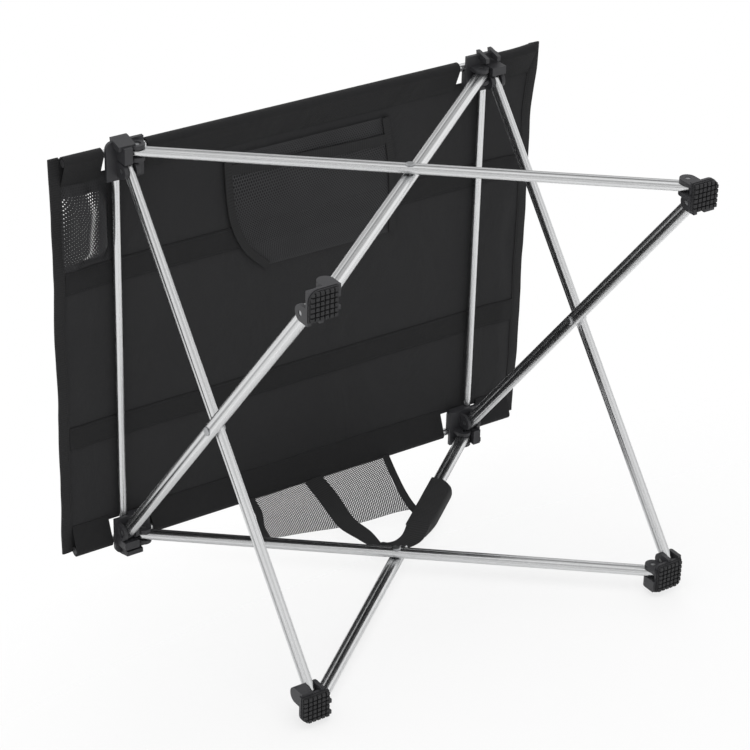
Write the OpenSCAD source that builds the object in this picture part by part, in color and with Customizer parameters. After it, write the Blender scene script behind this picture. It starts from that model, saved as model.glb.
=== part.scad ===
// Folding camp table: four scissor faces of flat-oval tube between four hubs
// and four feet, with a fabric top on two long rods and two short rods.
// Origin: centre of the footprint, on the ground. +Z up, X along the top.

/* [Table] */
// Distance between neighbouring corner lines of the square frame
pitch = 424; // [300:1:600]
// Rise of the leg from its foot pivot to its hub pivot
pivot_rise = 325; // [230:1:450]
// Overhang of the top past the corner lines, at each end
flap = 68.5; // [56:0.5:110]

/* [Leg tubes] */
// Width of the flat-oval tube, in the plane of its face
tube_w = 14; // [12:0.5:16]
// Thickness of the tube, across its face
tube_t = 8; // [6:0.5:9]
// Wall of the tube
tube_wall = 1; // [0.8:0.1:1.5]
// Gap between the two crossing tubes of a face
layer_gap = 0.6; // [0.4:0.1:1.5]
// Distance from the corner line to each leg pivot
pivot_inset = 13; // [12:0.5:18]

/* [Pins] */
// Diameter of the hub and foot pins
pin_d = 5; // [3:0.5:6]
// Diameter of the centre rivets
rivet_d = 5; // [3:0.5:6]
// Thickness of the rivet heads
rivet_head = 1.6; // [1:0.2:2.4]
// Radial clearance of every pin in its hole
pin_clear = 0.1; // [0.05:0.01:0.2]

/* [Rods] */
// Diameter of the long and short rods
rod_d = 8; // [6:0.5:9]
// Wall of the rods
rod_wall = 1; // [0.8:0.1:1.5]
// Distance that the rod axes lie outside the corner lines
rod_out = 1.5; // [1:0.1:3]
// Wall of the clip at each end of a short rod
clip_wall = 2.2; // [1.6:0.1:3]

/* [Hubs] */
// Reach of a hub outside the corner lines
hub_out = 15; // [14:0.5:18]
// Reach of a hub inside the corner lines
hub_in = 25; // [23:0.5:30]
// Thickness of the cheeks beside the tubes
cheek = 4; // [3:0.5:5]
// Thickness of the hub deck that carries the rods
deck_t = 3.8; // [3:0.2:6]
// Reach of the wedge cheeks under the long rod, outside the corner lines
wedge_out = 18; // [16:0.5:22]
// Thickness of one wedge cheek
wedge_t = 4; // [3:0.5:5]
// Distance between the two wedge cheeks, from one near side to the other
wedge_pitch = 14; // [11:0.5:16]

/* [Feet] */
// Height of the foot pivots above the ground
foot_h = 16; // [15:1:30]
// Reach of a foot outside the corner lines
foot_out = 13; // [13:0.5:17]
// Reach of a foot inside the corner lines
foot_in = 18; // [16:0.5:26]
// Radius of the foot's outer corner
foot_corner = 11; // [4:1:12]
// Height of the rubber tread
tread_h = 4; // [3:0.5:5]
// Height of the studs under the tread
stud_h = 2.2; // [1:0.1:2.5]
// Studs along one side of the tread
studs = 6; // [4:1:7]

/* [Fabric] */
// Thickness of the top fabric
cloth_t = 1.2; // [0.8:0.1:2]
// Depth of the sleeve hem, from the rod axis to its stitched edge
sleeve_depth = 26; // [18:1:34]
// Width of the bindings along the short edges
binding_w = 11; // [8:1:16]
// Width of the two lengthwise bands
band_w = 25; // [14:1:26]
// Distance of the bands from the centre line
band_y = 86; // [70:1:87]
// Inner edge of the corner cut-outs, inside the corner lines
notch_in = 31; // [29:1:40]
// Gap between a hub and the outer sleeve beside it
notch_gap = 1; // [0.5:0.1:6]
// Depth of the corner cut-outs, inside the corner lines
notch_deep = 19; // [17:1:24]
// Width of the net pocket on the underside
pocket_w = 198; // [150:1:240]
// Depth of the net pocket on the underside
pocket_l = 132; // [90:1:150]
// Width of the back net pocket
net_w = 178; // [120:1:200]
// Depth of the net pocket that hangs from the back edge
net_drop = 96; // [60:1:104]
// Width of the webbing
webbing_w = 25; // [18:1:30]
// Thickness of webbing and net panels
webbing_t = 1.6; // [1.2:0.1:2]

/* [Hidden] */
LEG_NODES = ["leg_front_outer", "leg_right_outer", "leg_back_outer", "leg_left_outer",
             "leg_front_inner", "leg_right_inner", "leg_back_inner", "leg_left_inner"];
CORNERS = ["front_left", "front_right", "back_right", "back_left"];
FACES = ["front", "right", "back", "left"];
$fn = 48;

fit_gap = 0.3;
tiny = 0.01;
face_at = pitch / 2;
span = pitch - 2 * pivot_inset;
leg_len = sqrt(span * span + pivot_rise * pivot_rise);
leg_tilt = atan(pivot_rise / span);
hub_z = foot_h + pivot_rise;
layer_at = (tube_t + layer_gap) / 2;
tube_r = tube_w / 2;
pin_hole_d = pin_d + 2 * pin_clear;
rivet_hole_d = rivet_d + 2 * pin_clear;
head_d = rivet_d + 4;

top_l = pitch + 2 * flap;

// heights measured from the hub pivots
deck_under = tube_r + 0.8;
deck_top = deck_under + deck_t;
rod_z = deck_top + fit_gap + rod_d / 2;
cloth_z = rod_z + rod_d / 2 + fit_gap + cloth_t;
block_top = rod_z + 0.5;
// side of the inner block that holds the rods outwards
block_at = rod_d / 2 + fit_gap - rod_out;

side_gap = 0.25;
cheek_out = layer_gap / 2 + tube_t + side_gap;
cheek_in = layer_gap / 2 - side_gap;
slot_r = tube_r + 0.8;
knuckle_r = tube_r + 1;

long_rod_y = face_at + rod_out;
short_rod_x = face_at + rod_out;
sleeve_r = rod_d / 2 + fit_gap + cloth_t;
cloth_y = long_rod_y;
notch_y = face_at - notch_deep;
notch_x0 = face_at - notch_in;
notch_x1 = face_at + hub_out + notch_gap;
top_w = 2 * (long_rod_y + sleeve_r);

// ends of the rods, and their clips
rod_end_gap = 1.5;
long_rod_l = top_l - 2 * (binding_w + rod_end_gap);
plug_l = 10;
cap_t = 1.2;
clip_r = rod_d / 2 + clip_wall;
short_rod_l = 2 * (long_rod_y - clip_r - 1);

// cup opening between the short rod and the binding
cup_rim = 4;
cup_wall = 1.4;
cup_x0 = short_rod_x + rod_d / 2 + 7.5;
cup_w = top_l / 2 - binding_w - cup_rim - 0.5 - cup_x0;
// the hub passes the cup net when the frame folds
cup_y0 = -(face_at - hub_in) + 12;
cup_l = 70;
cup_drop = 24;
// the underside pocket starts behind the stitched edge of the front sleeve
pocket_y0 = -(long_rod_y - sleeve_depth) + 9.5;
pocket_x0 = 10 - pocket_w / 2;
pocket_t = 3;
fabric_under = hub_z + cloth_z;
pocket_under = fabric_under - cloth_t - fit_gap - pocket_t;

// the back pocket leans as it hangs from the back sleeve
net_x0 = -72;
net_y = long_rod_y + 3.2;
net_top = hub_z + rod_z - sleeve_r - fit_gap;
net_tape = 9;
tape_low = net_drop + 6;
crossing_z = foot_h + pivot_rise / 2;
// near side of the leg beside the foot of the right tape, and the room left there
leg_near = (net_top - tape_low - crossing_z) / tan(leg_tilt) - tube_r / sin(leg_tilt);
net_leg_gap = 5.4;
net_lean = net_x0 + net_w + 4 - (leg_near - net_leg_gap);
strap_lean = 16;
// foot of the middle strap, where the handle is sewn on above the crossing
strap_low = crossing_z + 30.6 - net_top;

plastic = [0.07, 0.07, 0.075];
rubber = [0.045, 0.045, 0.05];
metal = [0.78, 0.79, 0.8];
steel = [0.6, 0.61, 0.63];
cloth = [0.05, 0.05, 0.055];
binding_c = [0.06, 0.06, 0.065];
net_c = [0.1, 0.1, 0.11];

// ---- places -------------------------------------------------------------

// Puts a child, drawn at the front-left corner with its corner line on Z,
// at corner k, counted anticlockwise from the front left.
module at_corner(k, z) {
    rotate([0, 0, 90 * k]) translate([-face_at, -face_at, z]) children();
}

// Turns a child drawn on the front face to face k.
module at_face(k) {
    rotate([0, 0, 90 * k]) children();
}

// Mirrors a piece drawn with its tube running along +X so that it runs along +Y.
module swap_xy() {
    mirror([1, -1, 0]) children();
}

// ---- legs ---------------------------------------------------------------

module oval(w, t) {
    square([w - t, t], center = true);
    for (s = [-1, 1]) translate([s * (w - t) / 2, 0]) circle(d = t);
}

// A leg tube along X between its two pivots, flat in the XZ plane.
module tube_along_x() {
    difference() {
        intersection() {
            rotate([0, 90, 0]) linear_extrude(leg_len + tube_w, center = true)
                difference() {
                    oval(tube_w, tube_t);
                    oval(tube_w - 2 * tube_wall, tube_t - 2 * tube_wall);
                }
            rotate([90, 0, 0]) linear_extrude(tube_t + 2, center = true) {
                square([leg_len, tube_w + 2], center = true);
                for (s = [-1, 1]) translate([s * leg_len / 2, 0]) circle(d = tube_w);
            }
        }
        for (s = [-1, 1]) translate([s * leg_len / 2, 0, 0])
            rotate([90, 0, 0]) cylinder(d = pin_hole_d, h = tube_t + 2, center = true);
        rotate([90, 0, 0]) cylinder(d = rivet_hole_d, h = tube_t + 2, center = true);
    }
}

// outer: from the hub at the face's first corner down to the foot at its second.
module leg_outer(k) {
    color(metal) at_face(k)
        translate([0, -face_at - layer_at, crossing_z])
        rotate([0, leg_tilt, 0]) tube_along_x();
}

module leg_inner(k) {
    color(metal) at_face(k)
        translate([0, -face_at + layer_at, crossing_z])
        rotate([0, -leg_tilt, 0]) tube_along_x();
}

module rivet(k) {
    reach = layer_gap / 2 + tube_t + pin_clear;
    color(steel) at_face(k) translate([0, -face_at, crossing_z])
        rotate([90, 0, 0]) {
            cylinder(d = rivet_d, h = 2 * reach + tiny, center = true);
            for (s = [-1, 1]) scale([1, 1, s]) translate([0, 0, reach]) {
                cylinder(d = head_d, h = rivet_head / 2);
                translate([0, 0, rivet_head / 2])
                    cylinder(d1 = head_d, d2 = head_d - 2.4, h = rivet_head / 2);
            }
        }
}

// ---- hubs ---------------------------------------------------------------

// Cheek plate beside a tube that runs along +X from its pivot, from y0 to y1.
module hub_cheek(y0, y1) {
    translate([pivot_inset, y1, 0]) rotate([90, 0, 0]) linear_extrude(y1 - y0) {
        circle(r = knuckle_r);
        translate([-knuckle_r, 0]) square([2 * knuckle_r, deck_under + 1]);
    }
}

// The room that a tube sweeps in its slot.
module tube_room(y0, y1) {
    translate([pivot_inset, y1, 0]) rotate([90, 0, 0]) linear_extrude(y1 - y0) {
        circle(r = slot_r);
        for (a = [leg_tilt - 6, 60, 89])
            rotate(-a) translate([0, -slot_r]) square([4 * tube_w, 2 * slot_r]);
    }
}

// Wedge cheek under the long rod: x0 is its first side, t its thickness,
// outwards is -Y.
module wedge_cheek(x0, t) {
    ramp = rod_out + 5;
    rise = (wedge_out - ramp) * tan(12);
    root = cheek_out + 0.5;
    translate([x0 + t, 0, 0]) rotate([90, 0, -90]) linear_extrude(t)
        polygon([[0, deck_under + 0.5], [0, deck_top], [ramp, deck_top],
                 [wedge_out, deck_top + rise], [wedge_out, deck_top + rise - 3],
                 [hub_out - 1, -4], [root, -4], [root, deck_under + 0.5]]);
}

// The right hubs have two wedge cheeks, and the left hubs one solid wedge.
module wedges(solid) {
    first = -8;
    if (solid) wedge_cheek(first, wedge_pitch + wedge_t);
    else for (x = [first, first + wedge_pitch]) wedge_cheek(x, wedge_t);
}

// long_along_x: true where the long rod runs along the hub's own X.
module hub(k, long_along_x) {
    color(plastic) at_corner(k, hub_z) {
        difference() {
            union() {
                // deck with a rounded outer corner
                translate([0, 0, deck_under]) linear_extrude(deck_t) hub_plan();
                // inner block that the rods lean on
                translate([block_at, block_at, deck_top - 1])
                    linear_extrude(block_top - deck_top + 1) block_plan();
                hub_cheek(-cheek_out - cheek, -cheek_out);
                hub_cheek(-cheek_in, cheek);
                swap_xy() hub_cheek(-cheek, cheek_in);
                swap_xy() hub_cheek(cheek_out, cheek_out + cheek);
                // column that ties the cheeks together at the corner
                translate([-cheek, -cheek_out - cheek, -knuckle_r])
                    cube([cheek + pivot_inset - slot_r - 0.6, cheek_out + 2 * cheek,
                          knuckle_r + deck_under + 1]);
            }
            tube_room(-cheek_out, -cheek_in);
            swap_xy() tube_room(cheek_in, cheek_out);
            hub_pin_holes(pin_d);
            // coin recess around the outer pin head
            translate([pivot_inset, -cheek_out - cheek - 1, 0]) rotate([-90, 0, 0])
                cylinder(d = pin_d + 4, h = 2);
        }
        if (long_along_x) wedges(CORNERS[k] == "front_left");
        else swap_xy() wedges(CORNERS[k] == "back_left");
    }
}

module hub_plan() {
    r = 7;
    translate([-hub_out, -hub_out + r]) square([hub_in + hub_out, hub_in + hub_out - r]);
    translate([-hub_out + r, -hub_out]) square([hub_in + hub_out - r, r + tiny]);
    translate([-hub_out + r, -hub_out + r]) circle(r = r);
}

module block_plan() {
    r = 5;
    side = hub_in - block_at;
    square([side - r, side]);
    square([side, side - r]);
    translate([side - r, side - r]) circle(r = r);
}

module hub_pin_holes(d) {
    translate([pivot_inset, cheek, 0]) rotate([90, 0, 0])
        cylinder(d = d, h = cheek_out + 2 * cheek + 1);
    translate([-cheek, pivot_inset, 0]) rotate([0, 90, 0])
        cylinder(d = d, h = cheek_out + 2 * cheek + 1);
}

// The two pins of a corner, pressed into its cheeks.
module hub_pins(k) {
    color(steel) at_corner(k, hub_z) {
        translate([pivot_inset, cheek - 0.5, 0]) rotate([90, 0, 0])
            cylinder(d = pin_d, h = cheek_out + 2 * cheek - 1.5);
        translate([-cheek + 0.5, pivot_inset, 0]) rotate([0, 90, 0])
            cylinder(d = pin_d, h = cheek_out + 2 * cheek - 1);
    }
}

// ---- feet ---------------------------------------------------------------

module foot_plan(inset) {
    r = foot_corner - inset;
    far = foot_in - inset;
    near = -foot_out + inset;
    in_r = 4;
    translate([near, near + r]) square([far - near - in_r, far - near - r]);
    translate([near + r, near]) square([far - near - r, far - near - in_r]);
    translate([near + r, near + r]) circle(r = r);
    translate([far - in_r, far - in_r]) circle(r = in_r);
}

// Knuckle plate beside a tube that rises along +X, from y0 to y1.
module foot_cheek(y0, y1) {
    translate([pivot_inset, y1, 0]) rotate([90, 0, 0]) linear_extrude(y1 - y0) {
        circle(r = knuckle_r);
        translate([-knuckle_r, -foot_h + tread_h]) square([2 * knuckle_r, foot_h - tread_h]);
    }
}

module foot_room(y0, y1) {
    translate([pivot_inset, y1, 0]) rotate([90, 0, 0]) linear_extrude(y1 - y0) {
        circle(r = slot_r);
        for (a = [leg_tilt - 6, 60, 89])
            rotate(a) translate([0, -slot_r]) square([4 * tube_w, 2 * slot_r]);
    }
}

module foot(k) {
    base_t = foot_h - tread_h - slot_r - 1.2;
    color(plastic) at_corner(k, foot_h) difference() {
        union() {
            translate([0, 0, -foot_h + tread_h]) linear_extrude(base_t) foot_plan(0);
            foot_cheek(-foot_out + 1, cheek_in);
            foot_cheek(cheek_out, cheek_out + cheek);
            swap_xy() foot_cheek(-cheek_out - cheek, -cheek_out);
            swap_xy() foot_cheek(-cheek_in, cheek);
            // corner post between the two knuckles
            translate([-cheek, -cheek, -foot_h + tread_h])
                cube([cheek + pivot_inset - slot_r - 0.6, cheek + pivot_inset - slot_r - 0.6,
                      foot_h - tread_h + 5]);
        }
        foot_room(cheek_in, cheek_out);
        swap_xy() foot_room(-cheek_out, -cheek_in);
        foot_pin_holes(pin_d);
    }
}

module foot_pin_holes(d) {
    translate([pivot_inset, cheek_out + cheek + 1, 0]) rotate([90, 0, 0])
        cylinder(d = d, h = cheek_out + 2 * cheek + 1);
    translate([-cheek_out - cheek - 1, pivot_inset, 0]) rotate([0, 90, 0])
        cylinder(d = d, h = cheek_out + 2 * cheek + 1);
}

module foot_pins(k) {
    color(steel) at_corner(k, foot_h) {
        translate([pivot_inset, cheek_out + cheek - 0.5, 0]) rotate([90, 0, 0])
            cylinder(d = pin_d, h = cheek_out + 2 * cheek - 1);
        translate([-cheek_out - cheek + 0.5, pivot_inset, 0]) rotate([0, 90, 0])
            cylinder(d = pin_d, h = cheek_out + 2 * cheek - 1);
    }
}

// Rubber tread: a plate glued under the foot, with square studs below.
module tread(k) {
    inset = 0.8;
    pitch_s = (foot_in + foot_out - 2 * inset - 0.6) / studs;
    stud = pitch_s - 1.4;
    color(rubber) at_corner(k, 0) {
        translate([0, 0, stud_h]) linear_extrude(tread_h - stud_h) foot_plan(inset);
        intersection() {
            linear_extrude(stud_h + tiny) foot_plan(inset);
            for (i = [0 : studs - 1], j = [0 : studs - 1])
                translate([-foot_out + inset + 1 + i * pitch_s,
                           -foot_out + inset + 1 + j * pitch_s, 0])
                    cube([stud, stud, stud_h + tiny]);
        }
    }
}

// ---- rods ---------------------------------------------------------------

module long_rod(side) {
    color(metal) translate([0, side * long_rod_y, hub_z + rod_z]) rotate([0, 90, 0])
        difference() {
            cylinder(d = rod_d, h = long_rod_l, center = true);
            cylinder(d = rod_d - 2 * rod_wall, h = long_rod_l + 2, center = true);
        }
}

// Plugs in the ends of the long rods.
module rod_caps() {
    plug_d = rod_d - 2 * rod_wall;
    color(plastic) for (sx = [-1, 1], sy = [-1, 1])
        translate([sx * long_rod_l / 2, sy * long_rod_y, hub_z + rod_z])
            rotate([0, sx * 90, 0]) {
                cylinder(d = rod_d, h = cap_t);
                translate([0, 0, -plug_l]) cylinder(d = plug_d, h = plug_l + tiny);
            }
}

module short_rod(side) {
    color(metal) translate([side * short_rod_x, 0, hub_z + rod_z]) rotate([90, 0, 0])
        difference() {
            cylinder(d = rod_d, h = short_rod_l, center = true);
            cylinder(d = rod_d - 2 * rod_wall, h = short_rod_l + 2, center = true);
        }
}

// Hook clips that join the ends of the short rods to the long rods.
module rod_clips() {
    clip_l = rod_d + 0.4;
    bore = rod_d + 0.1;
    color(plastic) for (sx = [-1, 1], sy = [-1, 1])
        translate([sx * short_rod_x, sy * long_rod_y, hub_z + rod_z]) {
            difference() {
                union() {
                    rotate([0, 90, 0]) cylinder(r = clip_r, h = clip_l, center = true);
                    translate([-rod_d / 2, -sy * clip_r / 2 - clip_r / 2 - 0.5, -rod_d / 2])
                        cube([rod_d, clip_r + 1, rod_d]);
                }
                rotate([0, 90, 0]) cylinder(d = bore, h = clip_l + 2, center = true);
                // mouth of the hook, and the room above the hub deck
                translate([-clip_l, -clip_r - 2, -clip_r - 1])
                    cube([2 * clip_l, 2 * clip_r + 4, clip_r + 1 - rod_d / 2 + 0.3]);
                translate([-clip_l, -rod_d / 2 + 0.6, -clip_r - 1])
                    cube([2 * clip_l, rod_d - 1.2, clip_r + 1]);
            }
            translate([0, -sy * (clip_r - 0.5), 0]) rotate([sy * 90, 0, 0])
                cylinder(d = rod_d - 2 * rod_wall, h = plug_l + 1.5);
        }
}

// ---- top ----------------------------------------------------------------

module top_fabric() {
    binding_in = top_l / 2 - binding_w / 2;
    color(cloth) translate([0, 0, fabric_under]) linear_extrude(cloth_t) difference() {
        square([2 * binding_in, 2 * cloth_y], center = true);
        for (sx = [-1, 1], sy = [-1, 1]) scale([sx, sy])
            translate([notch_x0, notch_y]) square([notch_x1 - notch_x0, notch_deep + 40]);
        // cup opening over the net in the left flap
        translate([-cup_x0 - cup_w, cup_y0]) square([cup_w, cup_l]);
    }
}

// Cross-section of a sleeve, with the rod axis at the origin and inwards to +X.
module sleeve_section() {
    difference() {
        union() {
            circle(r = sleeve_r);
            polygon([[0, -sleeve_r], [3, -sleeve_r + 0.6], [sleeve_depth, sleeve_r - cloth_t],
                     [sleeve_depth, sleeve_r], [0, sleeve_r]]);
        }
        circle(r = rod_d / 2 + fit_gap);
    }
}

// side: -1 front, 1 back. Three lengths, parted by the corner cut-outs.
module sleeve(side) {
    edge = top_l / 2 - binding_w - 0.3;
    lengths = [[-edge, -notch_x1], [-notch_x0, notch_x0], [notch_x1, edge]];
    color(cloth) for (e = lengths)
        translate([e[0], side * long_rod_y, hub_z + rod_z])
            rotate([90, 0, 90]) scale([-side, 1, 1]) linear_extrude(e[1] - e[0])
            sleeve_section();
}

// Tape that edges a short end of the fabric, and takes the cloth's edge.
module binding(side) {
    lip = 1.1;
    seat = cloth_t + 1;
    color(binding_c) translate([side * (top_l / 2 - binding_w / 2), 0, fabric_under - lip])
        difference() {
            translate([-binding_w / 2, -top_w / 2 + 3, 0])
                cube([binding_w, top_w - 6, lip + cloth_t]);
            // room for the cloth, which lies flush with the top of the tape
            translate([-side * (binding_w / 2 + 1), 0, lip - tiny + seat / 2])
                cube([binding_w + 2, 2 * cloth_y + tiny, seat], center = true);
        }
}

module band(side) {
    in_edge = top_l / 2 - binding_w - 0.5;
    color(binding_c) translate([-in_edge, side * band_y - band_w / 2, fabric_under - cloth_t])
        cube([2 * in_edge, band_w, cloth_t - 0.02]);
}

// Open-mouthed net under the cup opening of the left flap.
module cup_net() {
    rim = cup_rim;
    wall = cup_wall;
    color(net_c) translate([-cup_x0 - cup_w - rim, cup_y0 - rim, fabric_under - 0.05])
        difference() {
            translate([0, 0, -cup_drop]) cube([cup_w + 2 * rim, cup_l + 2 * rim, cup_drop]);
            translate([wall, wall, -cup_drop + wall])
                cube([cup_w + 2 * rim - 2 * wall, cup_l + 2 * rim - 2 * wall, cup_drop]);
            translate([-1, cup_l * 0.35, -cup_drop + 6])
                cube([wall + 2, cup_l * 0.35, cup_drop - 8]);
        }
}

// Net pocket that lies against the underside behind the front sleeve.
module pocket_front() {
    color(net_c) translate([pocket_x0, pocket_y0, pocket_under])
        cube([pocket_w, pocket_l, pocket_t]);
}

module pocket_front_straps() {
    tape_w = 8;
    color(binding_c) for (x = [pocket_x0, pocket_x0 + pocket_w - tape_w])
        translate([x, pocket_y0, pocket_under - webbing_t - 0.02])
            cube([tape_w, pocket_l, webbing_t]);
}

// Leaning outline of the back net pocket, in X and down from the sleeve.
module net_outline(x0, x1) {
    polygon([[x0, 0], [x1, 0], [x1 - net_lean, -net_drop], [x0 - net_lean + 8, -net_drop]]);
}

module pocket_back() {
    color(net_c) translate([0, net_y, net_top]) rotate([90, 0, 0])
        linear_extrude(webbing_t, center = true)
        net_outline(net_x0 + 8, net_x0 + net_w);
}

// Middle strap and edge bindings on the inner side of the back pocket.
module pocket_back_straps() {
    low = -tape_low;
    lean = net_lean;
    color(binding_c) translate([0, net_y - webbing_t - 0.02, net_top])
        rotate([90, 0, 0]) linear_extrude(webbing_t, center = true) {
            polygon([[net_x0, 0], [net_x0 + net_tape, 0], [net_x0 - lean + 17, low],
                     [net_x0 - lean + 6, low]]);
            polygon([[0, 0], [webbing_w + 1, 0], [webbing_w - 1 - strap_lean, strap_low],
                     [-2 - strap_lean, strap_low]]);
            polygon([[net_x0 + net_w + 7 - net_tape, 0], [net_x0 + net_w + 7, 0],
                     [net_x0 + net_w - lean + 4, low], [net_x0 + net_w - lean + 4 - net_tape, low]]);
        }
}

// Webbing handle that lies doubled beside the back leg.
module handle_strap() {
    slack = 0.6;
    front = face_at + layer_gap / 2 - slack - webbing_t;
    back = face_at + layer_gap / 2 + tube_t + slack;
    top_edge = tube_r;
    low_edge = tube_r - webbing_w;
    near = 60;
    far = 156;
    color(binding_c) translate([0, 0, crossing_z]) rotate([0, -leg_tilt, 0]) {
        translate([0, front + webbing_t, 0]) rotate([90, 0, 0]) linear_extrude(webbing_t)
            polygon([[6, 30], [30, 30], [46, top_edge], [far, top_edge],
                     [far, low_edge], [36, low_edge]]);
        translate([near, back, low_edge]) cube([far - near, webbing_t, webbing_w]);
        translate([near, front, low_edge])
            cube([far - near, back - front + webbing_t, webbing_t]);
        // turn where the handle is sewn to the middle strap
        translate([6, front, 28]) cube([24, net_y - 1.5 * webbing_t - 0.1 - front, 2]);
    }
}

// ---- output -------------------------------------------------------------

for (k = [0 : 3]) {
    hub(k, k % 2 == 0);
    hub_pins(k);
    foot(k);
    tread(k);
    foot_pins(k);
    leg_outer(k);
    leg_inner(k);
    rivet(k);
}
long_rod(-1);  // long_rod_front
long_rod(1);  // long_rod_back
short_rod(-1);  // short_rod_left
short_rod(1);  // short_rod_right
rod_caps();
rod_clips();
top_fabric();
sleeve(-1);  // sleeve_front
sleeve(1);  // sleeve_back
binding(-1);  // binding_left
binding(1);  // binding_right
band(-1);  // band_front
band(1);  // band_back
cup_net();
pocket_front();
pocket_front_straps();
pocket_back();
pocket_back_straps();
handle_strap();
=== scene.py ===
import math

import bpy
from mathutils import Matrix, Vector, noise


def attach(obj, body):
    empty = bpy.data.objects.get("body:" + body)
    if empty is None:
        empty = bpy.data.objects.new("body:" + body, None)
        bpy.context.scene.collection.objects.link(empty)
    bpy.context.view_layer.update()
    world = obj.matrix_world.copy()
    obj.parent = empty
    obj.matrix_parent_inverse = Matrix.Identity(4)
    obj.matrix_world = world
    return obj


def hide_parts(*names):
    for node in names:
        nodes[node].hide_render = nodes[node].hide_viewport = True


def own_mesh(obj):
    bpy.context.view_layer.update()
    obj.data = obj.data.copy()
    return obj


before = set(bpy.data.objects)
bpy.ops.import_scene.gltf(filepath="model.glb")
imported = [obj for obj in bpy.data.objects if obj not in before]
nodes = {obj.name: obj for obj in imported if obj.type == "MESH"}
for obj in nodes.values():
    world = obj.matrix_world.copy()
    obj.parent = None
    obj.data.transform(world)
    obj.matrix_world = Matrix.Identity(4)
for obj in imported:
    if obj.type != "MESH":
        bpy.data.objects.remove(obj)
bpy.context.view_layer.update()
print("folding table: frame loaded,", len(nodes), "nodes")


class Signal:
    # a node's output that can be added, scaled and compared like a number
    def __init__(self, finish, socket):
        self.finish, self.socket = finish, socket

    def maths(self, operation, *values):
        return self.finish.node("ShaderNodeMath", {"operation": operation}, dict(enumerate(values)))

    def __add__(self, other): return self.maths("ADD", self, other)
    def __radd__(self, other): return self.maths("ADD", other, self)
    def __sub__(self, other): return self.maths("SUBTRACT", self, other)
    def __rsub__(self, other): return self.maths("SUBTRACT", other, self)
    def __mul__(self, other): return self.maths("MULTIPLY", self, other)
    def __rmul__(self, other): return self.maths("MULTIPLY", other, self)
    def __gt__(self, other): return self.maths("GREATER_THAN", self, other)
    def __abs__(self): return self.maths("ABSOLUTE", self)
    def sine(self): return self.maths("SINE", self)
    def part(self): return self.maths("FRACT", self)
    def root(self): return self.maths("SQRT", self)
    def least(self, other): return self.maths("MINIMUM", self, other)
    def most(self, other): return self.maths("MAXIMUM", self, other)


class Finish:
    # a material built around its own Principled shader
    def __init__(self, name, settings):
        self.material = bpy.data.materials.new(name)
        self.material.use_nodes = True
        self.tree = self.material.node_tree
        self.shader = self.tree.nodes["Principled BSDF"]
        for socket, value in settings.items():
            self.shader.inputs[socket].default_value = value

    def node(self, kind, settings=None, values=None, output=0):
        made = self.tree.nodes.new(kind)
        for key, value in (settings or {}).items():
            setattr(made, key, value)
        for key, value in (values or {}).items():
            if isinstance(value, Signal):
                self.tree.links.new(value.socket, made.inputs[key])
            else:
                made.inputs[key].default_value = value
        return Signal(self, made.outputs[output])

    def feed(self, socket, signal):
        self.tree.links.new(signal.socket, self.shader.inputs[socket])

    def place(self, kind="Object"):
        return self.node("ShaderNodeTexCoord", output=kind)

    def apart(self, vector):
        parts = self.node("ShaderNodeSeparateXYZ", values={0: vector}).socket.node
        return [Signal(self, out) for out in parts.outputs]

    def cloud(self, vector, scale, detail=3.0):
        return self.node("ShaderNodeTexNoise", values={"Vector": vector, "Scale": scale, "Detail": detail})

    def tint(self, mask, first, second):
        mixed = self.node("ShaderNodeMix", {"data_type": "RGBA"},
                          {0: mask, 6: (*first, 1), 7: (*second, 1)}, output=2)
        self.feed("Base Color", mixed)

    def relief(self, height, depth, strength=1.0):
        bump = self.node("ShaderNodeBump", values={"Height": height, "Distance": depth, "Strength": strength})
        self.feed("Normal", bump)


# the dark tube colour is mostly reached in the legs' groove, where it is a painted dark reflection; the draw streaks
# only lean slightly towards it
metalLook = {"tube": (0.76, 0.765, 0.77), "tubeStreakToneAndGrooveReflection": (0.26, 0.265, 0.27), "streaks": 1500,
             "roughness": 0.24, "steel": (0.50, 0.51, 0.52), "groove": 0.0021, "grooveDepth": 0.0006}


def drawnMetal(name, axis, across=None, middle=0.0):
    # satin aluminium with faint draw lines along axis, and a groove down the flat faces of a leg; the groove's
    # colour is darkened there as a painted dark reflection
    finish = Finish(name, {"Metallic": 1.0})
    spot = finish.place()
    along = finish.node("ShaderNodeVectorMath", {"operation": "DOT_PRODUCT"}, {0: spot, 1: axis}, output="Value")
    run = finish.node("ShaderNodeVectorMath", {"operation": "SCALE"}, {0: axis, "Scale": along * 0.992})
    squeezed = finish.node("ShaderNodeVectorMath", {"operation": "SUBTRACT"}, {0: spot, 1: run})
    streak = finish.cloud(squeezed, metalLook["streaks"], 2.0)
    wear = finish.cloud(spot, 26.0, 4.0)
    streakToneAndGrooveReflection, height = streak * 0.12 + wear * 0.10 + 0.80, streak * 0.004
    if across:
        off = finish.node("ShaderNodeVectorMath", {"operation": "DOT_PRODUCT"}, {0: spot, 1: across}, output="Value")
        dip = finish.node("ShaderNodeMapRange", {"interpolation_type": "SMOOTHSTEP"},
                          {"Value": abs(off - middle), "From Min": 0.0, "From Max": metalLook["groove"]})
        # painted dark reflection: the base colour darkens towards the middle of the groove
        streakToneAndGrooveReflection, height = streakToneAndGrooveReflection * (0.35 + 0.65 * dip), height + dip
    finish.tint(streakToneAndGrooveReflection, metalLook["tubeStreakToneAndGrooveReflection"], metalLook["tube"])
    finish.feed("Roughness", streak * 0.12 + wear * 0.06 + (metalLook["roughness"] - 0.07))
    finish.relief(height, metalLook["grooveDepth"], 0.6)
    return finish.material


def steelFinish():
    finish = Finish("pinSteel", {"Metallic": 1.0})
    spot = finish.place()
    wear = finish.cloud(spot, 300.0, 3.0)
    finish.tint(wear, (0.36, 0.365, 0.37), metalLook["steel"])
    finish.feed("Roughness", wear * 0.2 + 0.25)
    finish.relief(wear, 0.00005, 0.4)
    return finish.material


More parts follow.
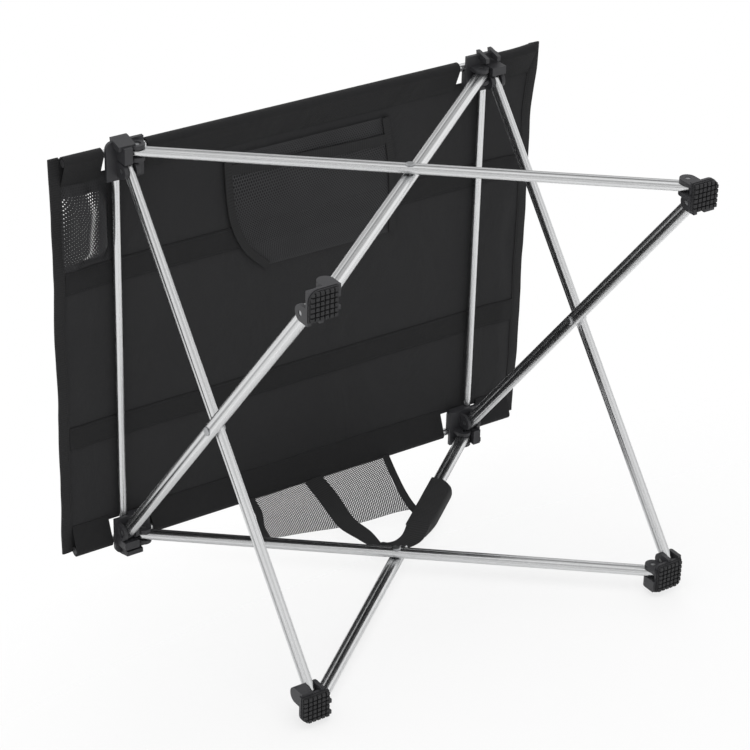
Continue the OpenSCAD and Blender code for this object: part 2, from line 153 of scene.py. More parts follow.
def mouldedFinish(name, dark, light, roughness, grain, depth):
    # moulded plastic or rubber: fine spark grain, with paler dust on its high spots
    finish = Finish(name, {"Specular IOR Level": 0.45})
    spot = finish.place()
    fine = finish.cloud(spot, grain, 2.0)
    broad = finish.cloud(spot, 45.0, 4.0)
    finish.tint(broad * 0.7 + fine * 0.3, dark, light)
    finish.feed("Roughness", roughness + 0.14 * broad + 0.08 * fine)
    finish.relief(fine * 0.8 + broad * 0.2, depth, 0.6)
    return finish.material


weave = {"pitch": 0.00085, "depth": 0.00012}


def wovenFinish(name, dark, light, roughness=0.74, crumple=0.0042, pitch=weave["pitch"], specular=0.24):
    # plain weave on the cloth's own map, which is in metres
    finish = Finish(name, {"Specular IOR Level": specular, "Sheen Weight": 0.05, "Sheen Roughness": 0.5})
    across, along, _ = finish.apart(finish.place("UV"))
    turn = math.pi / pitch
    warp, weft = abs((across * turn).sine()), abs((along * turn).sine())
    over = (across * (turn / 2)).sine() * (along * (turn / 2)).sine() > 0.0
    thread = warp * over + weft * (1 - over)
    spot = finish.place()
    fade = finish.cloud(spot, 9.0, 5.0)
    slub = finish.cloud(spot, 260.0, 2.0)
    finish.tint(thread * 0.45 + fade * 0.4 + slub * 0.15, dark, light)
    finish.feed("Roughness", roughness + 0.12 * fade)
    stretched = finish.node("ShaderNodeVectorMath", {"operation": "MULTIPLY"}, {0: spot, 1: (13.0, 8.0, 8.0)})
    folds = finish.node("ShaderNodeTexNoise",
                        values={"Vector": stretched, "Scale": 1.0, "Detail": 3.5, "Distortion": 1.2})
    finish.relief(thread * (weave["depth"] / crumple) + folds, crumple, 0.85)
    return finish.material


def ribbedFinish(name, dark, light):
    # webbing: ribs across the tape, with a herringbone shimmer
    finish = Finish(name, {"Specular IOR Level": 0.25, "Sheen Weight": 0.06, "Sheen Roughness": 0.5})
    across, along, _ = finish.apart(finish.place("UV"))
    slant = along * 3600.0 + across * 2100.0
    rib = (along * 2600.0).sine() * 0.5 + 0.5
    twill = slant.sine() * 0.5 + 0.5
    fade = finish.cloud(finish.place(), 30.0, 4.0)
    finish.tint(rib * 0.4 + twill * 0.25 + fade * 0.35, dark, light)
    finish.feed("Roughness", 0.7 + 0.12 * fade)
    finish.relief(rib * 0.6 + twill * 0.4, 0.0002, 0.8)
    return finish.material


netLook = {"pitch": 0.0027, "hole": 0.30, "rows": 1.55}


def netFinish(name, dark, light, hole=netLook["hole"], stripe=0.0):
    # knitted mesh: round openings in offset rows, cut out with alpha; stripe widens them along soft folds
    finish = Finish(name, {"Specular IOR Level": 0.3, "Roughness": 0.6})
    across, along, _ = finish.apart(finish.place("UV"))
    u, v = across * (1 / netLook["pitch"]), along * (1 / (netLook["pitch"] * netLook["rows"]))
    reach = []
    for shift in (0.0, 0.5):
        a, b = u + shift, v + shift
        left = a.part() - 0.5
        up = (b.part() - 0.5) * netLook["rows"]
        reach.append((left * left + up * up).root())
    near = reach[0].least(reach[1])
    crest = (across * 240.0 + along * 26.0 + 0.7).sine().most(0.0)
    finish.feed("Alpha", near > crest * crest * stripe + hole)
    fade = finish.cloud(finish.place(), 24.0, 3.0)
    finish.tint(near * 0.8 + fade * 0.4, dark, light)
    finish.relief(near, 0.0004, 0.7)
    return finish.material


blackPlastic = mouldedFinish("blackPlastic", (0.016, 0.016, 0.018), (0.046, 0.046, 0.050), 0.34, 2600.0, 0.00004)
capPlastic = mouldedFinish("capPlastic", (0.014, 0.014, 0.015), (0.028, 0.028, 0.03), 0.42, 2600.0, 0.00004)
treadRubber = mouldedFinish("treadRubber", (0.012, 0.012, 0.013), (0.036, 0.036, 0.038), 0.60, 1800.0, 0.00008)
pinSteel = steelFinish()
topWeave = wovenFinish("topWeave", (0.0098, 0.0098, 0.0108), (0.031, 0.031, 0.0322))
hemWeave = wovenFinish("hemWeave", (0.0075, 0.0075, 0.008), (0.021, 0.021, 0.022), 0.78)
edgeTape = ribbedFinish("edgeTape", (0.0085, 0.0085, 0.009), (0.025, 0.025, 0.026))
strapWebbing = ribbedFinish("strapWebbing", (0.0085, 0.0085, 0.009), (0.030, 0.030, 0.031))
greyNet = netFinish("greyNet", (0.010, 0.010, 0.011), (0.055, 0.055, 0.058), 0.25)
pocketNet = netFinish("pocketNet", (0.010, 0.010, 0.011), (0.060, 0.060, 0.063), 0.30)
flapNet = netFinish("flapNet", (0.007, 0.007, 0.008), (0.034, 0.034, 0.036), 0.05, 0.17)
seamThread = ribbedFinish("seamThread", (0.012, 0.012, 0.013), (0.03, 0.03, 0.032))

tilt = math.atan2(0.325, 0.398)  # of every leg, from the ground
crossing = 0.1785  # height of the legs' rivets
headings = {"front": (1, 0), "right": (0, 1), "back": (-1, 0), "left": (0, -1)}


def dress(node, material):
    piece = nodes[node]
    piece.data.materials.clear()
    piece.data.materials.append(material)


for name, piece in nodes.items():
    if name.startswith("leg_"):
        _, face, layer = name.split("_")
        dx, dy = headings[face]
        fall = -math.sin(tilt) if layer == "outer" else math.sin(tilt)
        level = math.cos(tilt)
        dress(name, drawnMetal(f"{face}{layer.title()}Tube", (dx * level, dy * level, fall),
                               (-dx * fall, -dy * fall, level), crossing * level))
    elif name.startswith("long_rod"):
        dress(name, drawnMetal("longRodMetal", (1, 0, 0)))
    elif name.startswith("short_rod"):
        dress(name, drawnMetal("shortRodMetal", (0, 1, 0)))
    elif name.startswith(("hub_pins", "foot_pins", "rivet")):
        dress(name, pinSteel)
    elif name.startswith(("hub_", "foot_")):
        dress(name, blackPlastic)
    elif name.startswith("tread_"):
        dress(name, treadRubber)
    elif name.startswith("rod_"):
        dress(name, capPlastic)
print("finishes made")

# moulded edges catch the light: the corners are rounded over the fixed shape
mouldedEdge = {"radius": 0.0006, "treadRadius": 0.0003, "steps": 2, "angle": math.radians(38), "weld": 0.00002}
for name, piece in nodes.items():
    if name.startswith(("hub_", "foot_", "tread_")) and "pins" not in name:
        weld = piece.modifiers.new("weld", "WELD")
        weld.merge_threshold = mouldedEdge["weld"]
        edge = piece.modifiers.new("softEdge", "BEVEL")
        edge.width = mouldedEdge["treadRadius" if name.startswith("tread_") else "radius"]
        edge.segments = mouldedEdge["steps"]
        edge.limit_method = "ANGLE"
        edge.angle_limit = mouldedEdge["angle"]
        edge.use_clamp_overlap = True
        edge.harden_normals = False


def clearSelection():
    if bpy.context.mode != "OBJECT":
        bpy.ops.object.mode_set(mode="OBJECT")
    bpy.ops.object.select_all(action="DESELECT")


def pick(piece):
    clearSelection()
    piece.select_set(True)
    bpy.context.view_layer.objects.active = piece


def apply(piece, kind, **settings):
    pick(piece)
    modifier = piece.modifiers.new(kind.title(), kind)
    for key, value in settings.items():
        setattr(modifier, key, value)
    bpy.ops.object.modifier_apply(modifier=modifier.name)


def layCloth(name, size, cells, place, thick, material):
    # a grid of cloth laid out by place(u, v); its map is in metres
    clearSelection()
    bpy.ops.mesh.primitive_grid_add(x_subdivisions=cells[0], y_subdivisions=cells[1], size=1)
    piece = bpy.context.object
    piece.name = piece.data.name = name
    for corner in piece.data.uv_layers.active.data:
        corner.uv = (corner.uv[0] * size[0], corner.uv[1] * size[1])
    for point in piece.data.vertices:
        point.co = place(point.co.x + 0.5, point.co.y + 0.5)
    piece.data.update()
    piece.data.materials.append(material)
    if thick:
        apply(piece, "SOLIDIFY", thickness=thick, offset=0, use_even_offset=True)
    pick(piece)
    bpy.ops.object.shade_smooth_by_angle(angle=math.radians(50))
    return piece


def joinPieces(name, parts):
    clearSelection()
    for part in parts:
        part.select_set(True)
    bpy.context.view_layer.objects.active = parts[0]
    bpy.ops.object.join()
    piece = bpy.context.object
    piece.name = piece.data.name = name
    return piece


def ease(low, high, value):
    t = min(1.0, max(0.0, (value - low) / (high - low)))
    return t * t * (3 - 2 * t)


def curveThrough(points, t):
    # smooth run through a list of points or numbers, t from 0 to 1
    span = min(int(t * (len(points) - 1)), len(points) - 2)
    s = t * (len(points) - 1) - span
    a, b, c, d = (points[min(max(span + i, 0), len(points) - 1)] for i in (-1, 0, 1, 2))
    return ((b * 2) + (c - a) * s + (a * 2 - b * 5 + c * 4 - d) * (s * s)
            + (b * 3 - a - c * 3 + d) * (s * s * s)) * 0.5


def flutter(x, y, scale, seed=0.0):
    return noise.noise(Vector((x * scale, y * scale, seed)))


topCloth = {"halfX": 0.2748, "halfY": 0.2135, "middle": 0.3630, "thick": 0.0012, "cell": 0.0042,
            "notchX": (0.181, 0.228), "notchY": 0.193, "cupX": (-0.2685, -0.2285), "cupY": (-0.175, -0.105),
            "flapWave": 0.0030, "clothWave": 0.0006, "droop": 0.0036, "tipPull": 0.0075}


def clothLift(x, y):
    # how far the cloth lies off its plane: tight between the rods, loose in the end flaps
    flap = ease(0.228, 0.262, abs(x))
    slack = flap * ease(0.215, 0.12, abs(y))
    lift = topCloth["clothWave"] * flutter(x, y * 0.3, 20, 3.0) * ease(0.2125, 0.19, abs(x))
    lift += topCloth["flapWave"] * flap * flutter(x * 1.3, y * 0.4, 40, 7.0)
    return lift - topCloth["droop"] * slack * (0.6 + 0.5 * flutter(0, y, 12, 1.0))


def pullTip(piece):
    # the front right corner is drawn out to a tip
    for point in piece.data.vertices:
        x, y = point.co.x, point.co.y
        share = ease(0.225, 0.275, x) * ease(-0.12, -0.218, y) ** 1.6
        point.co.x += topCloth["tipPull"] * share
        point.co.y -= 0.3 * topCloth["tipPull"] * share * ease(0.24, 0.278, x)


def makeTop(d):
    wide, long = 2 * d["halfX"], 2 * d["halfY"]
    cells = (round(wide / d["cell"]), round(long / d["cell"]))
    clearSelection()
    bpy.ops.mesh.primitive_grid_add(x_subdivisions=cells[0], y_subdivisions=cells[1], size=1)
    piece = bpy.context.object
    piece.name = piece.data.name = "topCloth"
    for corner in piece.data.uv_layers.active.data:
        corner.uv = (corner.uv[0] * wide, corner.uv[1] * long)
    for point in piece.data.vertices:
        point.co = (point.co.x * wide, point.co.y * long, 0)
    bpy.ops.object.mode_set(mode="EDIT")
    cuts = [((s * x, 0, 0), (1, 0, 0)) for s in (-1, 1) for x in d["notchX"]]
    cuts += [((0, s * d["notchY"], 0), (0, 1, 0)) for s in (-1, 1)]
    cuts += [((x, 0, 0), (1, 0, 0)) for x in d["cupX"]] + [((0, y, 0), (0, 1, 0)) for y in d["cupY"]]
    for at, normal in cuts:
        bpy.ops.mesh.select_all(action="SELECT")
        bpy.ops.mesh.bisect(plane_co=at, plane_no=normal)
    bpy.ops.mesh.select_all(action="DESELECT")
    bpy.ops.mesh.select_mode(type="FACE")
    bpy.ops.object.mode_set(mode="OBJECT")
    for face in piece.data.polygons:
        x, y = face.center.x, face.center.y
        inNotch = d["notchX"][0] < abs(x) < d["notchX"][1] and abs(y) > d["notchY"]
        inCup = d["cupX"][0] < x < d["cupX"][1] and d["cupY"][0] < y < d["cupY"][1]
        face.select = inNotch or inCup
    bpy.ops.object.mode_set(mode="EDIT")
    bpy.ops.mesh.delete(type="FACE")
    bpy.ops.object.mode_set(mode="OBJECT")
    for point in piece.data.vertices:
        point.co.z = d["middle"] + clothLift(point.co.x, point.co.y)
    piece.data.materials.append(topWeave)
    pullTip(piece)
    apply(piece, "SOLIDIFY", thickness=d["thick"], offset=0)
    pick(piece)
    bpy.ops.object.shade_smooth_by_angle(angle=math.radians(50))
    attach(piece, "top")
    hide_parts("top_fabric")
    notches = 4 * (d["notchX"][1] - d["notchX"][0]) * (d["halfY"] - d["notchY"])
    cup = (d["cupX"][1] - d["cupX"][0]) * (d["cupY"][1] - d["cupY"][0])
    wide * long - notches - cup
    return piece


top = makeTop(topCloth)
print("tabletop cloth laid")

sleeve = {"rodY": 0.2135, "rodZ": 0.3569, "ring": 0.0061, "ringLow": 0.0054, "stitch": 0.026, "thick": 0.0011,
          "ends": ((-0.2690, -0.2282), (-0.1808, 0.1808), (0.2282, 0.2690)), "cell": 0.004}


def makeSleeve(name, side, node, d):
    half = math.pi * (d["ring"] + d["ringLow"]) / 2
    run = math.hypot(d["stitch"], d["ringLow"] + 0.0049)
    wrap = 0.001 + half + run

    def section(v):
        # from the top of the rod round its outer side and back to the stitched edge
        walked = v * wrap
        if walked < 0.001:
            return 0.001 - walked, d["ring"]
        if walked < 0.001 + half:
            turn = (walked - 0.001) / half
            radius = d["ring"] + (d["ringLow"] - d["ring"]) * turn
            return -radius * math.sin(math.pi * turn), radius * math.cos(math.pi * turn)
        share = (walked - 0.001 - half) / run
        return d["stitch"] * share, -d["ringLow"] + (d["ringLow"] + 0.0049) * share

    parts = []
    for index, (start, end) in enumerate(d["ends"]):
        def place(u, v):
            x = start + (end - start) * u
            inward, rise = section(v)
            loose = ease(0.45, 0.6, v) * ease(1.0, 0.9, v)
            pucker = 0.00045 * loose * flutter(x, v * 0.05, 60, 4.0 + side)
            pull = 0.0009 * ease(0.45, 0.8, v) * flutter(x, 0, 18, 9.0 + side)
            lift = clothLift(x, side * 0.19) * ease(0.8, 1.0, v)
            return Vector((x, side * (d["rodY"] - inward + pull), d["rodZ"] + rise - abs(pucker) + lift))
        cells = (max(6, round((end - start) / d["cell"])), 34)
        parts.append(layCloth(f"{name}{index}", (end - start, wrap), cells, place, d["thick"], hemWeave))
    piece = joinPieces(name, parts)
    pullTip(piece)
    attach(piece, "top")
    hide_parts(node)
    return piece


makeSleeve("sleeveFront", -1, "sleeve_front", sleeve)
makeSleeve("sleeveBack", 1, "sleeve_back", sleeve)
print("sleeve hems folded round the long rods")

binding = {"inner": 0.2692, "outer": 0.2798, "halfY": 0.2165, "gap": 0.00105, "thick": 0.0008, "cells": (14, 110)}


def makeBinding(name, side, node, d):
    flatRun = d["outer"] - d["inner"]
    wrap = 2 * flatRun + math.pi * d["gap"]

    def place(u, v):
        walked = u * wrap
        y = -d["halfY"] + 2 * d["halfY"] * v
        wobble = 0.0004 * flutter(0, y, 45, 2.0 + side)
        if walked < flatRun:
            out, rise = d["inner"] + walked, -d["gap"]
        elif walked > wrap - flatRun:
            out, rise = d["inner"] + wrap - walked, d["gap"]
        else:
            turn = (walked - flatRun) / d["gap"] - math.pi / 2
            out, rise = d["outer"] + d["gap"] * math.cos(turn) * 0.6, d["gap"] * math.sin(turn)
        lift = clothLift(side * min(out, 0.2748), y)
        return Vector((side * (out + wobble), y, topCloth["middle"] + rise * 1.05 + lift))

    piece = layCloth(name, (wrap, 2 * d["halfY"]), d["cells"], place, d["thick"], edgeTape)
    pullTip(piece)
    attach(piece, "top")
    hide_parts(node)
    return piece


makeBinding("bindingLeft", -1, "binding_left", binding)
makeBinding("bindingRight", 1, "binding_right", binding)

band = {"halfX": 0.2688, "y": 0.086, "width": 0.025, "middle": 0.36175, "thick": 0.0009}


def makeBand(name, side, node, d):
    def place(u, v):
        x = -d["halfX"] + 2 * d["halfX"] * u
        y = side * d["y"] + (v - 0.5) * d["width"]
        crease = 0.0005 * flutter(x * 0.6, y, 60, 5.0 + side) * ease(0, 0.2, v) * ease(1, 0.8, v)
        return Vector((x, y, d["middle"] + clothLift(x, y) - abs(crease)))

    piece = layCloth(name, (2 * d["halfX"], d["width"]), (130, 8), place, d["thick"], hemWeave)
    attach(piece, "top")
    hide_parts(node)
    return piece


makeBand("bandFront", -1, "band_front", band)
makeBand("bandBack", 1, "band_back", band)
print("bindings and bands sewn on")

stitch = {"length": 0.0026, "step": 0.0034, "radius": 0.00028}


def stitchLine(start, end, height, sides=(-1, 1)):
    # one stitch is modelled, then repeated along a straight seam
    start, end = Vector(start), Vector(end)
    run = end - start
    lines = []
    for face in sides:
        clearSelection()
        bpy.ops.mesh.primitive_cylinder_add(vertices=6, radius=stitch["radius"], depth=stitch["length"])
        piece = bpy.context.object
        bpy.ops.object.mode_set(mode="EDIT")
        bpy.ops.mesh.select_all(action="SELECT")
        bpy.ops.mesh.bevel(offset=stitch["radius"] * 0.5, segments=1)
        bpy.ops.object.mode_set(mode="OBJECT")
        turn = Vector((0, 0, 1)).rotation_difference(run.normalized()).to_matrix().to_4x4()
        piece.data.transform(Matrix.Translation(start) @ turn)
        count = max(2, int(run.length / stitch["step"]))
        step = run / count
        apply(piece, "ARRAY", count=count, use_relative_offset=False, use_constant_offset=True,
              constant_offset_displace=step)
        for point in piece.data.vertices:
            x, y = point.co.x, point.co.y
            point.co.z += topCloth["middle"] + clothLift(x, y) + face * height
        lines.append(piece)
    return lines


def makeStitching():
    lines = []
    for side in (-1, 1):
        hem = side * (sleeve["rodY"] - sleeve["stitch"] + 0.002)
        for start, end in sleeve["ends"]:
            lines += stitchLine((start + 0.001, hem, 0), (end - 0.001, hem, 0), 0.0017, (-1,))
            lines += stitchLine((start + 0.001, hem, 0), (end - 0.001, hem, 0), 0.0007, (1,))
        edge = side * (binding["inner"] + 0.0018)
        lines += stitchLine((edge, -0.214, 0), (edge, 0.214, 0), 0.00155)
        for rim in (-1, 1):
            seam = side * band["y"] + rim * (band["width"] / 2 - 0.0018)
            lines += stitchLine((-0.266, seam, 0), (0.266, seam, 0), 0.0018, (-1,))
            lines += stitchLine((-0.266, seam, 0), (0.266, seam, 0), 0.0007, (1,))
    piece = joinPieces("topStitching", lines)
    pullTip(piece)
    piece.data.materials.clear()
    piece.data.materials.append(seamThread)
    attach(piece, "top")
    return piece


makeStitching()
print("seams stitched")

def layRibbon(name, centres, sides, width, thick, material, cells):
    # tape along centres; sides gives the direction across it at each centre
    centres = [Vector(p) for p in centres]
    sides = [Vector(s).normalized() for s in sides]
    widths = width if isinstance(width, (list, tuple)) else [width] * len(centres)
    length = sum((b - a).length for a, b in zip(centres, centres[1:]))

    def place(u, v):
        return curveThrough(centres, v) + curveThrough(sides, v).normalized() * ((u - 0.5) * curveThrough(widths, v))
    return layCloth(name, (max(widths), length), cells, place, thick, material)


def sewOn(piece, node=None, limp=False):
    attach(piece, "top")
    if node:
        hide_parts(node)
    if limp:
        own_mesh(piece)
    return piece


cupBag = {"x": (-0.2715, -0.2190), "y": (-0.1940, -0.0960), "rim": 0.36175, "drop": 0.0215, "fold": 0.0022,
          "crumple": 0.0015, "slack": (1.35, 1.3), "cells": (34, 56)}


def makeCupNet(d):
    def place(u, v):
        x = d["x"][0] + (d["x"][1] - d["x"][0]) * u
        y = d["y"][0] + (d["y"][1] - d["y"][0]) * v
        a = ease(d["x"][0], d["x"][0] + 0.014, x) * ease(d["x"][1], d["x"][1] - 0.016, x)
        b = ease(d["y"][0] + 0.006, d["y"][0] + 0.034, y) * ease(d["y"][1] - 0.002, d["y"][1] - 0.03, y)
        fold = d["fold"] * math.sin(x * 420 + y * 60) + d["crumple"] * flutter(x, y, 60, 6.0)
        return Vector((x, y, d["rim"] - (d["drop"] - fold) * a * b + clothLift(x, y) * (1 - a * b)))

    size = (d["x"][1] - d["x"][0], d["y"][1] - d["y"][0])
    piece = layCloth("cupNet", size, d["cells"], place, 0, flapNet)
    sewOn(piece, "cup_net")
    size[0] * d["slack"][0]
    size[1] * d["slack"][1]
    return piece


makeCupNet(cupBag)

frontPocket = {"left": [(-0.0890, -0.1780), (-0.0830, -0.1130), (-0.0670, -0.0740), (-0.0420, -0.0480)],
               "right": [(0.0960, -0.1780), (0.1040, -0.1320), (0.1075, -0.0900), (0.1085, -0.0480)],
               "flat": (0.178, 0.131), "plane": 0.3604, "bulge": 0.0022, "tape": 0.008, "mouth": 0.011}


def pocketEdge(points, v):
    return curveThrough([Vector((x, y, 0)) for x, y in points], v)


def makeFrontPocket(d):
    def surface(u, v):
        a, b = pocketEdge(d["left"], v), pocketEdge(d["right"], v)
        spot = a.lerp(b, u)
        swell = math.sin(math.pi * u) ** 0.6 * math.sin(math.pi * min(1, v * 0.9 + 0.08)) ** 0.6
        rise = d["bulge"] * swell * (0.75 + 0.35 * flutter(spot.x, spot.y, 22, 8.0))
        return Vector((spot.x, spot.y, d["plane"] - rise))

    piece = layCloth("pocketFrontNet", d["flat"], (60, 44), surface, 0, pocketNet)
    sewOn(piece, "pocket_front")
    low = Vector((0, 0, 0.0012))
    for name, node, points in (("pocketFrontTapeLeft", "pocket_front_straps", d["left"]),
                               ("pocketFrontTapeRight", None, d["right"])):
        centres = [Vector((x, y, d["plane"] - 0.0012)) for x, y in points]
        across = []
        for i in range(len(points)):
            ahead, behind = points[min(i + 1, 3)], points[max(i - 1, 0)]
            across.append(Vector((ahead[1] - behind[1], behind[0] - ahead[0], 0)))
        tape = layRibbon(name, centres, across, d["tape"], 0.0012, edgeTape, (5, 60))
        sewOn(tape, node)
    mouth = [surface(u, 0.19 - 0.09 * (1 - u)) - low for u in (0.02, 0.25, 0.5, 0.75, 0.98)]
    hem = layRibbon("pocketFrontMouth", mouth, [(0, 1, 0)] * 5, d["mouth"], 0.001, edgeTape, (5, 70))
    sewOn(hem)
    return piece


makeFrontPocket(frontPocket)
print("cup net and front pocket hung")

backPocket = {"y": 0.2167, "top": 0.3511, "lowLeft": 0.281, "lowRight": 0.248, "leftTop": -0.062,
              "rightTop": 0.1035, "leftLow": -0.090, "rightLow": 0.066, "flat": (0.162, 0.096), "tapeY": 0.2151,
              "tape": 0.0095, "thick": 0.0013, "lean": (1, 0, 0.28),
              "leftTape": [(-0.066, 0.3515), (-0.0735, 0.322), (-0.0870, 0.294), (-0.0935, 0.268)],
              "rightTape": [(0.104, 0.3515), (0.0905, 0.317), (0.0775, 0.281), (0.0700, 0.254), (0.0680, 0.238)],
              "strap": [(0.0116, 0.3515), (0.0050, 0.312), (-0.0012, 0.284), (-0.0060, 0.258), (-0.0032, 0.230),
                        (-0.0030, 0.206)],
              "strapWidths": [0.0240, 0.0250, 0.0240, 0.0225, 0.0190, 0.0110]}


def makeBackPocket(d):
    def surface(u, v):
        # v runs from the sleeve down to the free edge
        leftX = d["leftTop"] + (d["leftLow"] - d["leftTop"]) * v - 0.004 * math.sin(math.pi * v)
        rightX = d["rightTop"] + (d["rightLow"] - d["rightTop"]) * v - 0.005 * math.sin(math.pi * v)
        x = leftX + (rightX - leftX) * u
        edge = d["lowLeft"] + (d["lowRight"] - d["lowLeft"]) * u ** 0.6
        z = d["top"] + (edge - d["top"]) * v
        wave = 0.0012 * math.sin(u * 9 + v * 3) * v + 0.0008 * flutter(x, z, 28, 2.0)
        return Vector((x, d["y"] + wave, z))

    piece = layCloth("pocketBackNet", d["flat"], (60, 40), surface, 0, greyNet)
    sewOn(piece, "pocket_back", limp=True)
    for name, run, wide, node in (("pocketBackTapeLeft", d["leftTape"], d["tape"], "pocket_back_straps"),
                                  ("pocketBackTapeRight", d["rightTape"], d["tape"], None),
                                  ("pocketBackStrap", d["strap"], d["strapWidths"], None)):
        centres = [(x, d["tapeY"], z) for x, z in run]
        tape = layRibbon(name, centres, [d["lean"]] * len(run), wide, d["thick"], strapWebbing, (8, 60))
        sewOn(tape, node, limp=True)
    return piece


makeBackPocket(backPocket)
print("back pocket hung")

handle = {"centre": (0, crossing), "start": 0.058, "far": 0.156, "high": 0.007, "low": -0.018,
          "front": 0.2109, "back": 0.2217, "thick": 0.0014,
          "leadWidths": [0.0115, 0.010, 0.013, 0.022, 0.0245]}


def onLeg(s, across, y):
    # s along the back leg from the crossing, across it in its face
    cx, cz = handle["centre"]
    level, rise = math.cos(tilt), math.sin(tilt)
    return Vector((cx + s * level - across * rise, y, cz + s * rise + across * level))


def makeHandle(d):
    tall = d["high"] - d["low"]
    deep = d["back"] - d["front"]
    wrap = 2 * tall + deep

    def place(u, v):
        # u runs down the front face, round the lower fold and up the back face
        s = d["start"] + (d["far"] - d["start"]) * v
        walked = u * wrap
        rounding, taper = max(0.0, v - 0.82) / 0.18, max(0.0, 0.3 - v) / 0.3
        lowEdge = d["low"] + 0.0145 * rounding ** 2.0 + 0.004 * taper ** 1.5
        share = (d["high"] - lowEdge) / tall
        if walked < tall:
            across, y = d["high"] - walked * share, d["front"]
        elif walked > wrap - tall:
            across, y = d["high"] - (wrap - walked) * share, d["back"]
        else:
            turn = (walked - tall) / deep
            across, y = lowEdge - 0.0012 * math.sin(math.pi * turn), d["front"] + deep * turn
        belly = 0.0004 * flutter(s, across, 60, 4.0)
        return onLeg(s, across, y + belly)

    body = layCloth("handleFold", (wrap, d["far"] - d["start"]), (40, 44), place, d["thick"], strapWebbing)
    sewOn(body, "handle_strap", limp=True)
    y = d["front"] - 0.0006
    run = [(-0.0030, 0.2151, 0.2090), (0.0030, 0.2140, 0.1985), (0.0150, 0.2122, 0.1935),
           onLeg(0.036, -0.0065, y), onLeg(0.066, -0.0055, y)]
    across = [(1, 0, 0.2), (0.35, -0.9, 0.5), (-0.35, -0.45, 0.85), (-0.55, 0, 0.83), (-0.63, 0, 0.77)]
    lead = layRibbon("handleLead", run, across, d["leadWidths"], d["thick"], strapWebbing, (8, 70))
    sewOn(lead, limp=True)


makeHandle(handle)
print("handle folded over the leg")

stageLook = {"floorY": 0.2307, "paper": (0.96, 0.96, 0.96), "glow": 0.72, "worldFill": 0.68, "worldShown": 1.0,
             "dimRoom": 0.42, "brightRoom": 1.12, "patches": 2.1}
lamps = {"overheadSoftbox": {"spot": (-0.5, -2.3, -0.7), "aim": (0, 0, 0.15), "size": 3.0, "power": 26},
         "uprightSoftbox": {"spot": (1.2, -1.3, 2.3), "aim": (0, 0, 0.2), "size": 2.6, "power": 20},
         "backSoftbox": {"spot": (-1.5, 1.9, 1.1), "aim": (0, 0, 0.2), "size": 2.6, "power": 14}}


def paperMaterial(name, fadeFrom, fadeTo, stretch, middle=(0, 0, 0)):
    # pale paper that is seen from its front only, and thins out to the white surroundings
    material = bpy.data.materials.new(name)
    material.use_nodes = True
    tree = material.node_tree
    tree.nodes.clear()
    make = tree.nodes.new
    out, paper, clear, mix = (make(k) for k in ("ShaderNodeOutputMaterial", "ShaderNodeBsdfDiffuse",
                                                "ShaderNodeBsdfTransparent", "ShaderNodeMixShader"))
    paper.inputs["Color"].default_value = (*stageLook["paper"], 1)
    glow, lit, path, share, seen = (make(k) for k in ("ShaderNodeEmission", "ShaderNodeMixShader",
                                                      "ShaderNodeLightPath", "ShaderNodeMath", "ShaderNodeMath"))
    share.operation = "MULTIPLY"
    share.inputs[1].default_value = stageLook["glow"]
    spot, shift, length = make("ShaderNodeTexCoord"), make("ShaderNodeVectorMath"), make("ShaderNodeVectorMath")
    shift.operation, length.operation = "MULTIPLY_ADD", "LENGTH"
    shift.inputs[1].default_value, shift.inputs[2].default_value = stretch, middle
    fade, front, both = make("ShaderNodeMapRange"), make("ShaderNodeNewGeometry"), make("ShaderNodeMath")
    fade.inputs["From Min"].default_value, fade.inputs["From Max"].default_value = fadeFrom, fadeTo
    both.operation = "MAXIMUM"
    link = tree.links.new
    link(spot.outputs["Object"], shift.inputs[0])
    link(shift.outputs[0], length.inputs[0])
    link(length.outputs["Value"], fade.inputs["Value"])
    seen.operation = "MULTIPLY"
    link(fade.outputs["Result"], seen.inputs[0])
    link(path.outputs["Is Camera Ray"], seen.inputs[1])
    link(seen.outputs[0], both.inputs[0])
    link(front.outputs["Backfacing"], both.inputs[1])
    link(both.outputs[0], mix.inputs[0])
    link(path.outputs["Is Camera Ray"], share.inputs[0])
    link(share.outputs[0], lit.inputs[0])
    link(paper.outputs[0], lit.inputs[1])
    link(glow.outputs[0], lit.inputs[2])
    link(lit.outputs[0], mix.inputs[1])
    link(clear.outputs[0], mix.inputs[2])
    link(mix.outputs[0], out.inputs["Surface"])
    return material


def makeStage():
    clearSelection()
    bpy.ops.mesh.primitive_plane_add(size=4)
    wall = bpy.context.object
    wall.name = "paperBehind"
    for point in wall.data.vertices:
        point.co = (point.co.x, stageLook["floorY"], -1.0 + 0.68 * point.co.y)
    wall.data.flip_normals()
    if wall.data.polygons[0].normal.y > 0:
        wall.data.flip_normals()
    wall.data.materials.append(paperMaterial("paperBehind", 0.95, 1.2, (0.75, 0.0, 1.0), (0.0, 0.0, 0.85)))
    wall.visible_shadow = wall.visible_diffuse = False
    clearSelection()
    bpy.ops.mesh.primitive_plane_add(size=6, location=(0, 0, -0.0004))
    ground = bpy.context.object
    ground.name = "paperUnder"
    ground.data.materials.append(paperMaterial("paperUnder", 0.7, 1.6, (1.0, 1.0, 0.0)))
    ground.visible_shadow = ground.visible_diffuse = ground.visible_glossy = ground.visible_transmission = False


makeStage()


def addLamp(name, d):
    bpy.ops.object.light_add(type="AREA", location=d["spot"])
    lamp = bpy.context.object
    lamp.name = name
    lamp.data.shape, lamp.data.size, lamp.data.energy = "DISK", d["size"], d["power"]
    lamp.visible_glossy = False
    lamp.rotation_euler = (Vector(d["aim"]) - Vector(d["spot"])).to_track_quat("-Z", "Y").to_euler()


for name, lamp in lamps.items():
    addLamp(name, lamp)


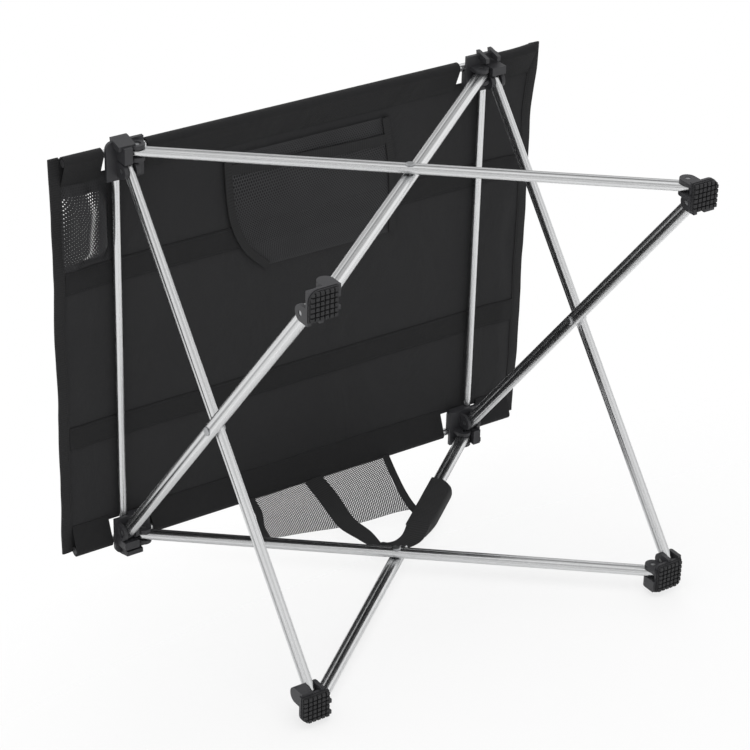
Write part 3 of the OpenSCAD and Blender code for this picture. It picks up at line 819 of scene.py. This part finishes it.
def makeSurroundings():
    # a white room: plain to the eye, uneven in reflections so that the metal shows bands
    world = bpy.data.worlds.new("whiteRoom")
    bpy.context.scene.world = world
    world.use_nodes = True
    tree = world.node_tree
    back, link = tree.nodes["Background"], tree.links.new
    path, most, shown, room, where, uneven, reflected = (tree.nodes.new(k) for k in (
        "ShaderNodeLightPath", "ShaderNodeMath", "ShaderNodeMapRange", "ShaderNodeMapRange", "ShaderNodeTexCoord",
        "ShaderNodeTexNoise", "ShaderNodeMix"))
    most.operation = "MAXIMUM"
    link(path.outputs["Is Camera Ray"], most.inputs[0])
    link(path.outputs["Is Transmission Ray"], most.inputs[1])
    link(most.outputs[0], shown.inputs["Value"])
    shown.inputs["To Min"].default_value = stageLook["worldFill"]
    shown.inputs["To Max"].default_value = stageLook["worldShown"]
    link(where.outputs["Generated"], uneven.inputs["Vector"])
    uneven.inputs["Scale"].default_value, uneven.inputs["Detail"].default_value = stageLook["patches"], 1.0
    link(uneven.outputs[0], room.inputs["Value"])
    room.inputs["From Min"].default_value, room.inputs["From Max"].default_value = 0.36, 0.58
    room.inputs["To Min"].default_value = stageLook["dimRoom"]
    room.inputs["To Max"].default_value = stageLook["brightRoom"]
    link(path.outputs["Is Glossy Ray"], reflected.inputs[0])
    link(shown.outputs["Result"], reflected.inputs[2])
    link(room.outputs["Result"], reflected.inputs[3])
    back.inputs["Color"].default_value = (1, 1, 1, 1)
    link(reflected.outputs[0], back.inputs["Strength"])


makeSurroundings()

camera = {"spot": (-1.3285, -1.2750, -1.6922), "right": (0.82998, -0.02625, -0.55718),
          "down": (-0.25255, 0.87296, -0.41733), "ahead": (0.49734, 0.48709, 0.71791), "lens": 130.1}


def makeCamera(d):
    bpy.ops.object.camera_add()
    eye = bpy.context.object
    right, down, ahead = (Vector(d[k]) for k in ("right", "down", "ahead"))
    turn = Matrix((right, -down, -ahead)).transposed().to_4x4()
    eye.matrix_world = Matrix.Translation(d["spot"]) @ turn
    eye.data.lens, eye.data.sensor_width = d["lens"], 36
    eye.data.clip_start, eye.data.clip_end = 0.05, 30
    bpy.context.scene.camera = eye


makeCamera(camera)
bpy.context.scene.view_settings.view_transform = "Standard"
print("stage, lamps and camera placed")
